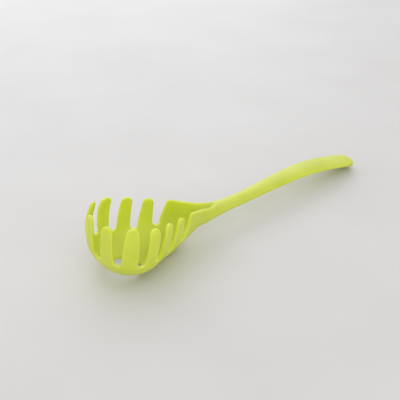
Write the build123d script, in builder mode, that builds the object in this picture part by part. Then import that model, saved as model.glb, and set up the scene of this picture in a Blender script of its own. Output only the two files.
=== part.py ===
from build123d import *
import math
import os

os.makedirs("parts", exist_ok=True)

# A one-piece moulded pasta server, lying as it rests on a table: the bowl stands on the small
# flat under its floor and the arched handle comes down to the table at its far end.
# All lengths are millimetres. The table is Z = 0, the handle runs along +X, the mould's mirror
# plane is Y = 0, and the origin is in the middle of the flat that it stands on.

# General sizes
overrun = 12.0
middle_share = 0.5

# The outside of the head, as outlines one above the other. In each, a curve runs from the front
# to the flank, a straight flank runs on to the neck, and a small circle closes the neck. The
# pulls say how far the curve keeps its direction at its two ends.
outer_heights = [0.0, 1.0, 2.5, 5.0, 9.0, 14.0, 20.0, 28.0, 37.0, 46.0, 55.0]
outer_front_x = [-22.8, -25.4, -29.0, -33.3, -38.9, -43.2, -45.8, -47.0, -46.8, -46.2, -45.4]
outer_front_pulls = [5.5, 7.4, 10.0, 12.8, 16.8, 20.6, 23.8, 26.8, 27.0, 24.0, 22.4]
outer_flank_x = [-12.6, -12.8, -12.9, -12.9, -12.8, -12.7, -12.4, -10.8, -8.8, -6.6, -4.8]
outer_flank_y = [7.8, 10.5, 13.7, 17.1, 22.2, 26.8, 29.5, 31.0, 31.5, 30.1, 29.1]
outer_flank_pulls = [4.6, 6.2, 8.2, 10.8, 14.4, 17.6, 19.8, 21.2, 21.8, 21.8, 21.0]
outer_neck_centres = [3.9, 9.7, 15.4, 22.3, 30.1, 39.3, 46.4, 49.6, 50.5, 51.1, 51.5]
outer_neck_radii = [7.8, 8.9, 9.0, 8.6, 8.6, 9.0, 9.0, 8.8, 8.6, 8.6, 8.6]

# The inside of the head, drawn the same way, from the floor up
inner_heights = [3.0, 4.2, 6.0, 9.0, 14.0, 20.0, 28.0, 37.0, 46.0, 55.0, 64.0]
inner_front_x = [-23.6, -27.0, -30.3, -34.9, -39.9, -43.0, -44.4, -44.2, -43.6, -42.8, -42.0]
inner_front_pulls = [6.0, 8.4, 10.9, 14.2, 18.4, 21.8, 24.8, 25.0, 22.0, 20.4, 19.0]
inner_flank_x = [-13.9, -13.8, -13.7, -13.5, -13.2, -12.4, -10.8, -8.8, -6.6, -4.8, -3.0]
inner_flank_y = [8.2, 11.2, 14.3, 18.4, 23.6, 26.7, 28.4, 28.9, 27.5, 26.5, 25.5]
inner_flank_pulls = [4.6, 6.8, 8.7, 11.6, 15.2, 18.4, 20.2, 20.8, 20.8, 20.0, 19.2]
inner_neck_centres = [0.0, 10.0, 19.0, 28.5, 39.0, 49.5, 55.5, 58.0, 59.0, 60.0, 61.0]
inner_neck_radii = [5.0, 5.0, 4.9, 4.8, 4.7, 4.4, 3.8, 3.2, 3.0, 2.8, 2.8]

# The handle, as rounded sections evenly spaced along X: how wide each way, its top, its
# underside, and the height of the widest line between them
handle_start = 44.0
handle_end = 247.8
handle_half_widths = [9.0, 8.9, 7.8, 7.6, 8.4, 9.6, 10.8, 11.9, 12.6, 12.6, 11.4]
handle_tops = [27.2, 25.4, 22.4, 21.5, 21.7, 22.2, 22.1, 20.9, 18.0, 14.0, 9.6]
handle_undersides = [11.4, 12.9, 13.8, 14.1, 14.9, 15.7, 15.7, 14.5, 11.4, 6.2, 0.3]
handle_edge_heights = [18.0, 18.1, 17.4, 17.2, 17.8, 18.4, 18.4, 17.2, 14.2, 10.2, 6.2]
handle_corner_radius = 10.5
handle_corner_half = 12.8
handle_end_round = 1.2

# The rim that trims the two cheeks, seen from the side
rim_x = [24.0, 32.6, 38.0, 46.0, 54.0, 62.0, 72.0, 84.0]
rim_heights = [39.0, 35.6, 33.4, 30.5, 28.1, 26.2, 24.8, 24.4]

# The slots, from the one on the mirror plane to the one by the cheek: the centre of the
# half-round foot and its radius, and the way out through the wall as a turn from the front
slot_x = [-45.6, -41.8, -27.8, -12.6, 3.6, 21.2]
slot_y = [0.0, 19.2, 29.3, 29.4, 23.0, 17.2]
slot_z = [26.4, 25.2, 24.2, 22.0, 20.0, 19.4]
foot_radii = [4.6, 3.3, 3.3, 3.3, 3.3, 3.3]
slot_turns = [0.0, 33.0, 71.0, 101.0, 110.0, 110.5]

# The tines, from the front to the neck: the middle of each tip, and the way it faces
tip_x = [-42.9, -30.9, -14.7, 1.7, 18.0]
tip_y = [10.8, 26.2, 30.6, 26.3, 20.2]
tip_z = [52.0, 52.2, 48.4, 44.1, 39.7]
tip_turns = [19.0, 56.8, 88.0, 109.0, 110.5]
tip_width = 8.8
tip_round_share = 0.53

# The cheek's front corner, where its rim starts
cheek_x = 32.4
cheek_y = 14.6
cheek_z = 35.7
cheek_corner_radius = 3.0

# The hole for one portion, through the floor
portion_hole_x = -22.5
portion_hole_radius = 12.5
portion_hole_top = 14.0

# The outside of the head as one solid
with BuildPart() as head_outside:
    for z, fx, fp, kx, ky, kp, nc, nr in zip(
        outer_heights,
        outer_front_x,
        outer_front_pulls,
        outer_flank_x,
        outer_flank_y,
        outer_flank_pulls,
        outer_neck_centres,
        outer_neck_radii,
    ):
        away = math.hypot(nc - kx, ky)
        run = math.sqrt(away ** 2 - nr ** 2)
        turn = math.atan2(-ky, nc - kx) + math.asin(nr / away)
        px, py = kx - kp * math.cos(turn), ky - kp * math.sin(turn)
        nx, ny = kx + run * math.cos(turn), ky + run * math.sin(turn)
        with BuildSketch(Plane.XY.offset(z)):
            with BuildLine():
                Bezier((fx, 0), (fx, fp), (px, py), (kx, ky))
                Line((kx, ky), (nx, ny))
                ThreePointArc((nx, ny), (nc + nr, 0), (nx, -ny))
                Line((nx, -ny), (kx, -ky))
                Bezier((kx, -ky), (px, -py), (fx, -fp), (fx, 0))
            make_face()
    loft()

# The room inside the head, which runs out above the neck
with BuildPart() as head_inside:
    for z, fx, fp, kx, ky, kp, nc, nr in zip(
        inner_heights,
        inner_front_x,
        inner_front_pulls,
        inner_flank_x,
        inner_flank_y,
        inner_flank_pulls,
        inner_neck_centres,
        inner_neck_radii,
    ):
        away = math.hypot(nc - kx, ky)
        run = math.sqrt(away ** 2 - nr ** 2)
        turn = math.atan2(-ky, nc - kx) + math.asin(nr / away)
        px, py = kx - kp * math.cos(turn), ky - kp * math.sin(turn)
        nx, ny = kx + run * math.cos(turn), ky + run * math.sin(turn)
        with BuildSketch(Plane.XY.offset(z)):
            with BuildLine():
                Bezier((fx, 0), (fx, fp), (px, py), (kx, ky))
                Line((kx, ky), (nx, ny))
                ThreePointArc((nx, ny), (nc + nr, 0), (nx, -ny))
                Line((nx, -ny), (kx, -ky))
                Bezier((kx, -ky), (px, -py), (fx, -fp), (fx, 0))
            make_face()
    loft()

# The handle as one solid, from inside the neck to its end
with BuildPart() as stick:
    handle_step = (handle_end - handle_start) / (len(handle_tops) - 1)
    for k, (w, top, low, edge) in enumerate(
        zip(handle_half_widths, handle_tops, handle_undersides, handle_edge_heights)
    ):
        x = handle_start + k * handle_step
        with BuildSketch(Plane.YZ.offset(x)):
            with BuildLine():
                EllipticalCenterArc((0, edge), w, top - edge, start_angle=0, arc_size=180)
                EllipticalCenterArc((0, edge), w, edge - low, start_angle=180, arc_size=180)
            make_face()
    loft()

# What is cut off the handle's far corners, seen from above
over_z = max(outer_heights) + overrun
with BuildPart() as corner_cuts:
    for side in (1, -1):
        with BuildSketch():
            with BuildLine():
                bend_x = handle_end - handle_corner_radius
                bend_y = side * (handle_corner_half - handle_corner_radius)
                slant = handle_corner_radius * math.sin(math.pi / 4)
                ThreePointArc(
                    (handle_end, bend_y), (bend_x + slant, bend_y + side * slant), (bend_x, side * handle_corner_half)
                )
                Polyline(
                    (bend_x, side * handle_corner_half),
                    (bend_x, side * over_z),
                    (handle_end + overrun, side * over_z),
                    (handle_end + overrun, bend_y),
                    (handle_end, bend_y),
                )
            make_face()
        extrude(amount=over_z)

# The handle with its end softened
with BuildPart() as rod:
    add(stick.part)
    add(corner_cuts.part, mode=Mode.SUBTRACT)
    end_edges = []
    for face in rod.faces():
        if face.center().X > handle_end - handle_corner_radius / 2:
            for edge in face.edges():
                if abs((edge % middle_share).Z) < math.sin(math.pi / 4):
                    end_edges.append(edge)
    fillet(end_edges, handle_end_round)

# Everything above the cheeks' rim, seen from the side
with BuildPart() as above_rim:
    with BuildSketch(Plane.XZ):
        with BuildLine():
            rim_points = list(zip(rim_x, rim_heights))
            Spline(*rim_points)
            Polyline(rim_points[-1], (rim_x[-1], over_z), (rim_x[0], over_z), rim_points[0])
        make_face()
    extrude(amount=max(outer_flank_y) + overrun, both=True)

# The shell of head and handle together, with its slots, tips and hole still to be cut
with BuildPart() as shell:
    add(head_outside.part)
    add(rod.part)
    add(head_inside.part, mode=Mode.SUBTRACT)
    add(above_rim.part, mode=Mode.SUBTRACT)
    with Locations((portion_hole_x, 0, 0)):
        Cylinder(radius=portion_hole_radius, height=2 * portion_hole_top, mode=Mode.SUBTRACT)

# One cutter for each slot: a half-round foot, and two sides that run up to the tips beside it
with BuildPart() as slots:
    for side in (1, -1):
        for k, (x, y, z, turn, foot_radius) in enumerate(zip(slot_x, slot_y, slot_z, slot_turns, foot_radii)):
            if y == 0 and side < 0:
                continue
            facing = math.radians(turn)
            along = (-side * math.sin(facing), -math.cos(facing), 0)
            slot_plane = Plane(
                origin=(x, side * y, z), x_dir=along, z_dir=(-math.cos(facing), side * math.sin(facing), 0)
            )
            ends = []
            for n, way in ((k - 1, side), (k, -side)):
                if n < 0:
                    spot, tall, half = (tip_x[0], -side * tip_y[0]), tip_z[0], tip_width / 2
                elif n == len(tip_x):
                    spot, tall, half = (cheek_x, side * cheek_y), cheek_z, 0
                else:
                    spot, tall, half = (tip_x[n], side * tip_y[n]), tip_z[n], tip_width / 2
                reach = (spot[0] - x) * along[0] + (spot[1] - side * y) * along[1]
                edge = reach - way * half
                foot_edge = way * foot_radius
                slope = (edge - foot_edge) / (tall - z)
                ends.append((foot_edge, foot_edge + slope * (over_z - z)))
            ends.sort()
            with BuildSketch(slot_plane):
                with BuildLine():
                    rise = over_z - z
                    Polyline((ends[0][0], 0), (ends[0][1], rise), (ends[1][1], rise), (ends[1][0], 0))
                    ThreePointArc((ends[1][0], 0), (0, -foot_radius), (ends[0][0], 0))
                make_face()
            extrude(amount=overrun, both=True)

# One cutter for each tip, hollowed underneath to leave the tip round
tip_round = tip_width * tip_round_share
with BuildPart() as tops:
    for side in (1, -1):
        for n, (x, y, z, turn) in enumerate(zip(tip_x, tip_y, tip_z, tip_turns)):
            facing = math.radians(turn)
            base_x = (slot_x[n] + slot_x[n + 1]) / 2 - x
            base_y = (slot_y[n] + slot_y[n + 1]) / 2 - y
            reach = -side * base_x * math.sin(facing) - side * base_y * math.cos(facing)
            drop = z - (slot_z[n] + slot_z[n + 1]) / 2
            tip_plane = Plane(
                origin=(x, side * y, z),
                x_dir=(-side * math.sin(facing) * drop, -math.cos(facing) * drop, reach),
                z_dir=(-math.cos(facing), side * math.sin(facing), 0),
            )
            with BuildSketch(tip_plane):
                with BuildLine():
                    ThreePointArc((-tip_round, -tip_round), (0, 0), (tip_round, -tip_round))
                    Polyline(
                        (tip_round, -tip_round),
                        (tip_width, -tip_round),
                        (tip_width, 2 * overrun),
                        (-tip_width, 2 * overrun),
                        (-tip_width, -tip_round),
                        (-tip_round, -tip_round),
                    )
                make_face()
            extrude(amount=overrun / 2, both=True)

with BuildPart() as cut:
    add(shell.part)
    add(slots.part, mode=Mode.SUBTRACT)
    add(tops.part, mode=Mode.SUBTRACT)

# The cheeks' front corners, rounded in the plane of the wall there
with BuildPart() as rounded:
    add(cut.part)
    cheek_corners = []
    for side in (1, -1):
        cheek_corners.append(rounded.edges().sort_by_distance((cheek_x, side * cheek_y, cheek_z))[0])
    fillet(cheek_corners, cheek_corner_radius)

# The moulding is parted where its shape changes: at the feet of the tines, at the front of the
# cheeks and at the neck
throat_x = 23.4
neck_x = 66.0
foot_level = 21.36
foot_fall_share = 0.070
foot_slope = math.atan(foot_fall_share)
foot_plane = Plane(
    origin=(0, 0, foot_level),
    x_dir=(math.cos(foot_slope), 0, -math.sin(foot_slope)),
    z_dir=(math.sin(foot_slope), 0, math.cos(foot_slope)),
)
throat_plane = Plane.YZ.offset(throat_x)
neck_plane = Plane.YZ.offset(neck_x)

with BuildPart() as bowl:
    add(rounded.part)
    split(bisect_by=throat_plane, keep=Keep.BOTTOM)
    split(bisect_by=foot_plane, keep=Keep.BOTTOM)

with BuildPart() as throat:
    add(rounded.part)
    split(bisect_by=throat_plane, keep=Keep.TOP)
    split(bisect_by=neck_plane, keep=Keep.BOTTOM)

with BuildPart() as handle:
    add(rounded.part)
    split(bisect_by=neck_plane, keep=Keep.TOP)

with BuildPart() as standing:
    add(rounded.part)
    split(bisect_by=throat_plane, keep=Keep.BOTTOM)
    split(bisect_by=foot_plane, keep=Keep.TOP)

bowl.part.label = "bowl"
export_step(bowl.part, "parts/bowl.step")
throat.part.label = "throat"
export_step(throat.part, "parts/throat.step")
handle.part.label = "handle"
export_step(handle.part, "parts/handle.step")

# The ten tines, numbered from the front; left is +Y
for side, hand in ((1, "left"), (-1, "right")):
    for number, (x, y, z) in enumerate(zip(tip_x, tip_y, tip_z), start=1):
        with BuildPart() as tine:
            add(standing.solids().sort_by_distance((x, side * y, z))[0])
        tine.part.label = f"tine_{hand}_{number}"
        export_step(tine.part, f"parts/tine_{hand}_{number}.step")
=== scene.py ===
# %% [markdown]
# A pasta server of lime-green plastic lies on a pale table. The CAD model is the frame: it gives every length,
# and this lesson gives the moulding its soft edges, its colour and its light. Everything is in metres.

# %% Load the frame
import bpy
import math
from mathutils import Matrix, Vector


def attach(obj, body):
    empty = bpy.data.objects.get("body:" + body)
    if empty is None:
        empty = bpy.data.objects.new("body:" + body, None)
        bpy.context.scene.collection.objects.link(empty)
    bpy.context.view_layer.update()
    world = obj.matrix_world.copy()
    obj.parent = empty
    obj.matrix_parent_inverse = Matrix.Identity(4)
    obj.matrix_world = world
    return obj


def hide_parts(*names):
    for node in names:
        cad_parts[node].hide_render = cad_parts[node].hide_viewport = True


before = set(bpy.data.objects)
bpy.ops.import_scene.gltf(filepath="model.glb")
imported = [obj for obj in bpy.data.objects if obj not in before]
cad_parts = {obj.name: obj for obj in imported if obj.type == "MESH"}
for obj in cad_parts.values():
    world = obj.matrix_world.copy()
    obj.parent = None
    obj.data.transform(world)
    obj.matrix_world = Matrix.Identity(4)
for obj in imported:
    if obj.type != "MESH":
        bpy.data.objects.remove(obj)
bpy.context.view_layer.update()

# %% [markdown]
# The camera comes first, because every later choice is judged through it. The server was seen from about
# 30 degrees above the table, from the side of the bowl, through a moderately long lens. A long lens keeps the
# near and the far tines nearly the same size, as they are in the picture.

# %% Camera
aim = Vector((0.0921, 0.0433, 0.0))
turn = math.radians(41.28)
rise = math.radians(29.80)
distance = 0.6333
towards_camera = Vector((
    -math.sin(turn) * math.cos(rise),
    -math.cos(turn) * math.cos(rise),
    math.sin(rise),
))
camera_data = bpy.data.cameras.new("camera")
camera_data.lens = 63.0
camera_data.clip_start = 0.01
camera_data.clip_end = 20.0
camera = bpy.data.objects.new("camera", camera_data)
bpy.context.scene.collection.objects.link(camera)
camera.location = aim + towards_camera * distance
camera.rotation_euler = (-towards_camera).to_track_quat("-Z", "Y").to_euler()
bpy.context.scene.camera = camera
print("camera at", tuple(round(v, 3) for v in camera.location))

# %% [markdown]
# Shader maths reads best as plain expressions. A small class wraps a socket, and its operators add the Math
# nodes. Any other node comes from one method, which sets the node's own settings first and its sockets after.
# A second method sets the sockets of the surface shader, with a link or a plain value for each.

# %% A socket that does sums
class Wire:
    def __init__(self, tree, socket):
        self.tree = tree
        self.socket = socket

    def feed(self, socket, value):
        if isinstance(value, Wire):
            self.tree.links.new(value.socket, socket)
        else:
            socket.default_value = value

    def node(self, kind, settings=None, **sockets):
        made = self.tree.nodes.new(kind)
        for name, value in (settings or {}).items():
            if name == "stops":
                ramp = made.color_ramp
                while len(ramp.elements) < len(value):
                    ramp.elements.new(0.5)
                for element, (place, colour) in zip(ramp.elements, value):
                    element.position = place
                    element.color = colour
            else:
                setattr(made, name, value)
        for name, value in sockets.items():
            self.feed(made.inputs[name], value)
        return Wire(self.tree, made.outputs[0])

    def surface(self, sockets):
        shader = self.tree.nodes["Principled BSDF"]
        for name, value in sockets.items():
            self.feed(shader.inputs[name], value)

    def sum_node(self, operation, first, second):
        made = self.tree.nodes.new("ShaderNodeMath")
        made.operation = operation
        self.feed(made.inputs[0], first)
        self.feed(made.inputs[1], second)
        return Wire(self.tree, made.outputs[0])

    def __add__(self, other):
        return self.sum_node("ADD", self, other)

    def __radd__(self, other):
        return self.sum_node("ADD", other, self)

    def __mul__(self, other):
        return self.sum_node("MULTIPLY", self, other)

    def __rmul__(self, other):
        return self.sum_node("MULTIPLY", other, self)


def new_material(name):
    material = bpy.data.materials.new(name)
    material.use_nodes = True
    places = material.node_tree.nodes.new("ShaderNodeTexCoord")
    return material, Wire(material.node_tree, places.outputs["Object"])


print("shader helper ready")

# %% [markdown]
# The plastic is a dyed polypropylene or nylon: an even lime green with a satin skin. Up close such a skin isn't
# one colour. The dye is a little cloudy, the moulded surface has a fine grain of a few tenths of a millimetre,
# and broad areas are polished a little more than others. Three noises on Object coordinates give this. The
# scattering under the surface is strong, because the wall is thin and the light from behind makes it glow.

# %% Lime plastic
deep_lime = (0.555, 0.627, 0.056, 1.0)
lime = (0.595, 0.663, 0.067, 1.0)
pale_lime = (0.630, 0.693, 0.080, 1.0)
dye_stops = [(0.30, deep_lime), (0.50, lime), (0.70, pale_lime)]


def lime_plastic():
    material, here = new_material("lime_plastic")
    clouds = here.node("ShaderNodeTexNoise", Vector=here, Scale=38.0, Detail=3.0, Roughness=0.5)
    polish = here.node("ShaderNodeTexNoise", Vector=here, Scale=95.0, Detail=2.0, Roughness=0.55)
    grain = here.node("ShaderNodeTexNoise", Vector=here, Scale=2600.0, Detail=2.0, Roughness=0.6)
    here.surface({
        "Base Color": here.node("ShaderNodeValToRGB", {"stops": dye_stops}, Fac=clouds),
        "Roughness": 0.36 + polish * 0.12 + grain * 0.04,
        "Normal": here.node("ShaderNodeBump", Height=grain, Strength=0.12, Distance=0.00006),
        "IOR": 1.49,
        "Subsurface Weight": 0.9,
        "Subsurface Radius": (1.0, 1.0, 0.25),
        "Subsurface Scale": 0.006,
    })
    return material


plastic = lime_plastic()
print("material", plastic.name)

# %% [markdown]
# The real server is one moulding, and its mould is polished round: no edge is sharp. The CAD nodes have the true
# shape, but with crisp edges, and they meet face to face. A bevel can't round edges where three curved walls
# meet, so the looks get one closed skin over all the nodes. The skin starts from copies, because the nodes
# themselves are never changed.

# %% Copies of the nodes
def copy_of(node_name):
    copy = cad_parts[node_name].copy()
    copy.data = copy.data.copy()
    copy.parent = None
    copy.data.materials.clear()
    bpy.context.scene.collection.objects.link(copy)
    return copy


copies = {name: copy_of(name) for name in sorted(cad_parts)}
print(len(copies), "copies of the CAD nodes")

# %% [markdown]
# An operator works on all that is selected, as the hand tool does. So each step first says what it is about: one
# function selects objects and nothing else, one runs steps in edit mode on one piece, and one selects the
# corners or the edges that pass a test of their place. The corners and edges are marked in object mode, because
# that is where the mesh's own lists can be written.

# %% Selecting by hand, in code
def select_only(*objects):
    bpy.ops.object.select_all(action="DESELECT")
    for chosen in objects:
        chosen.select_set(True)
    bpy.context.view_layer.objects.active = objects[0]


def edit(piece, *steps):
    select_only(piece)
    bpy.ops.object.mode_set(mode="EDIT")
    for step in steps:
        step()
    bpy.ops.object.mode_set(mode="OBJECT")


def select_where(parts, wanted):
    bpy.ops.mesh.select_all(action="DESELECT")
    bpy.ops.object.mode_set(mode="OBJECT")
    for part in parts:
        part.select = wanted(part)
    bpy.ops.object.mode_set(mode="EDIT")


print("selection tools ready")

# %% [markdown]
# On the real server the cheeks don't stop where the handle starts. Their rims run out along the handle as two
# soft shoulders. A box is the start of the shoulders: its far end is drawn in, so that it sinks into the handle,
# and its two long upper edges are rounded with a bevel.

# %% Shoulders at the neck
shoulders_middle = (0.0665, 0.0, 0.0211)
shoulders_size = (0.027, 0.0172, 0.0142)
far_end_middle = (0.080, 0.0, 0.0172)
far_end_share = (1.0, 0.45, 0.35)
shoulder_round = 0.0026


def neck_shoulders():
    bpy.ops.object.select_all(action="DESELECT")
    bpy.ops.mesh.primitive_cube_add(size=1.0, location=shoulders_middle, scale=shoulders_size)
    block = bpy.context.view_layer.objects.active
    bpy.ops.object.transform_apply(location=True, rotation=True, scale=True)

    def at_far_end(corner):
        return corner.co.x > shoulders_middle[0]

    def long_and_upper(edge):
        first, second = (block.data.vertices[i].co for i in edge.vertices)
        return abs(first.x - second.x) > shoulders_size[0] / 2 and first.z > far_end_middle[2]

    def draw_in_far_end():
        select_where(block.data.vertices, at_far_end)
        bpy.ops.transform.resize(value=far_end_share, center_override=far_end_middle)

    def round_upper_edges():
        select_where(block.data.edges, long_and_upper)
        bpy.ops.mesh.bevel(offset=shoulder_round, segments=5, affect="EDGES")

    edit(block, draw_in_far_end, round_upper_edges)
    return block


shoulders = neck_shoulders()
print("the shoulders have", len(shoulders.data.polygons), "faces")

# %% [markdown]
# Between the cheeks lies a channel, which rises towards the handle and fades into its top. A long ball, tipped up
# towards the handle, is taken out of the shoulders and of the two nodes that it meets. A tipped ball leaves such
# a channel with a run-out at its end, which an inset or an extrude can't give. A CAD node's mesh is loose
# triangles, so its doubled corners are merged before anything is cut from it.

# %% The channel's run-out
channel_middle = (0.050, 0.0, 0.0319)
channel_half_size = (0.033, 0.0057, 0.014)
channel_rise = math.radians(12.0)


def channel_cutter():
    bpy.ops.object.select_all(action="DESELECT")
    bpy.ops.mesh.primitive_uv_sphere_add(
        segments=72, ring_count=36, radius=1.0,
        location=channel_middle, rotation=(0.0, -channel_rise, 0.0), scale=channel_half_size,
    )
    bpy.ops.object.transform_apply(location=True, rotation=True, scale=True)
    return bpy.context.view_layer.objects.active


def merge_doubles():
    bpy.ops.mesh.select_all(action="SELECT")
    bpy.ops.mesh.remove_doubles(threshold=0.00001)


def apply_modifier(piece, kind, **settings):
    modifier = piece.modifiers.new(kind.lower(), kind)
    for name, value in settings.items():
        setattr(modifier, name, value)
    bpy.context.view_layer.objects.active = piece
    bpy.ops.object.modifier_apply(modifier=modifier.name)
    print(kind.lower(), "leaves", len(piece.data.polygons), "faces")


cutter = channel_cutter()
for piece in (copies["throat"], copies["handle"], shoulders):
    edit(piece, merge_doubles)
    apply_modifier(piece, "BOOLEAN", operation="DIFFERENCE", object=cutter, solver="EXACT")
bpy.data.objects.remove(cutter)

# %% [markdown]
# All the copies and the shoulders become one mesh, the doubled corners where they meet are merged, and a voxel
# remesh closes one skin over them.

# %% The closed skin
voxel = 0.00045
select_only(*copies.values(), shoulders)
bpy.ops.object.join()
moulding = bpy.context.view_layer.objects.active
moulding.name = "moulding"
edit(moulding, merge_doubles)
apply_modifier(moulding, "REMESH", mode="VOXEL", voxel_size=voxel, adaptivity=0.0)

# %% [markdown]
# Two smoothings follow. A heavy one is held to two places by a vertex group: the neck, where the walls of the
# head melt into the handle, and the handle's end, which is rounder than the rest. It fades in and out, so that no
# line shows where it starts. A light one rounds every other edge by about a millimetre. A decimate then keeps the
# skin light.

# %% Soft neck, soft end, soft edges
soft_rounds = 130
edge_rounds = 12
most_triangles = 190000
neck_from_x, neck_to_x = 0.046, 0.092
neck_fade_in, neck_fade_out = 0.012, 0.014
below_rims_z, most_lead = 0.022, 0.010
end_from_x, end_fade_in, end_softness = 0.230, 0.012, 0.75


def softness(place):
    # Low down, under the cheeks' thin rims, the soft part of the neck starts nearer to the bowl.
    from_x = neck_from_x - min(max(below_rims_z - place.z, 0.0), most_lead)
    at_neck = min((place.x - from_x) / neck_fade_in, (neck_to_x - place.x) / neck_fade_out, 1.0)
    at_end = min((place.x - end_from_x) / end_fade_in, end_softness)
    return max(at_neck, at_end)


soft_places = moulding.vertex_groups.new(name="soft_places")
for vertex in moulding.data.vertices:
    share = softness(vertex.co)
    if share > 0.0:
        soft_places.add([vertex.index], share, "REPLACE")
apply_modifier(moulding, "SMOOTH", factor=0.5, iterations=soft_rounds, vertex_group="soft_places")
apply_modifier(moulding, "SMOOTH", factor=0.5, iterations=edge_rounds)
triangles = len(moulding.data.polygons) * 2
if triangles > most_triangles:
    apply_modifier(moulding, "DECIMATE", ratio=most_triangles / triangles)
moulding.vertex_groups.clear()

# %% [markdown]
# The skin takes the place of every node in view. The nodes stay in the frame for their weight and their
# collision, and the skin rides on the one body that they make up.

# %% The skin stands for the nodes
select_only(moulding)
bpy.ops.object.shade_smooth()
moulding.data.materials.append(plastic)
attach(moulding, "root")
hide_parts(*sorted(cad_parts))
lowest = [min(vertex.co[axis] for vertex in moulding.data.vertices) for axis in range(3)]
print("the skin's lowest corner in mm", [round(value * 1000, 2) for value in lowest])

# %% [markdown]
# The table is a plain pale sheet. One big plane is enough: its far edge lies out of the picture, and only a low
# view from the side shows it, as a faint horizon. A little cloudiness keeps it from looking like paper.

# %% Table
table_width = 14.0
table_shade = (0.645, 0.632, 0.622, 1.0)
table_light = (0.675, 0.664, 0.656, 1.0)
table_stops = [(0.3, table_shade), (0.7, table_light)]


def pale_table():
    material, here = new_material("pale_table")
    patches = here.node("ShaderNodeTexNoise", Vector=here, Scale=9.0, Detail=3.0, Roughness=0.5)
    here.surface({
        "Base Color": here.node("ShaderNodeValToRGB", {"stops": table_stops}, Fac=patches),
        "Roughness": 0.55,
    })
    return material


bpy.ops.object.select_all(action="DESELECT")
bpy.ops.mesh.primitive_plane_add(size=table_width, location=(0.0, 0.0, 0.0))
table = bpy.context.view_layer.objects.active
table.name = "table"
table.data.materials.append(pale_table())
print("the table is", table_width, "m wide")

# %% [markdown]
# The light in the picture is a large window behind the server: its top faces are bright and a soft shadow
# falls towards the viewer. A broad, slightly cool area lamp behind and above gives that. The pale room on the
# viewer's side gives some light back to the near walls, which a weaker, warmer lamp does, and a pale world fills
# the rest. All three stay weak enough that no pale surface turns to plain white.

# %% Lights
world = bpy.data.worlds.new("room")
bpy.context.scene.world = world
world.use_nodes = True
world_light = world.node_tree.nodes["Background"]
world_light.inputs["Color"].default_value = (0.98, 0.975, 0.98, 1.0)
world_light.inputs["Strength"].default_value = 0.82


def area_lamp(name, place, target, size, power, colour):
    lamp = bpy.data.lights.new(name, "AREA")
    lamp.shape = "RECTANGLE"
    lamp.size, lamp.size_y = size
    lamp.energy = power
    lamp.color = colour
    holder = bpy.data.objects.new(name, lamp)
    bpy.context.scene.collection.objects.link(holder)
    holder.location = place
    holder.rotation_euler = (Vector(target) - Vector(place)).to_track_quat("-Z", "Y").to_euler()
    print(name, "lamp at", place)


area_lamp(
    "window", place=(0.45, 1.35, 0.75), target=(0.10, 0.1, 0.0),
    size=(2.4, 1.2), power=10.5, colour=(0.93, 0.97, 1.0),
)
area_lamp(
    "room", place=(-0.6, -1.1, 1.1), target=(0.05, 0.0, 0.0),
    size=(1.8, 1.4), power=6.0, colour=(1.0, 0.985, 0.97),
)
bpy.context.scene.view_settings.view_transform = "Standard"
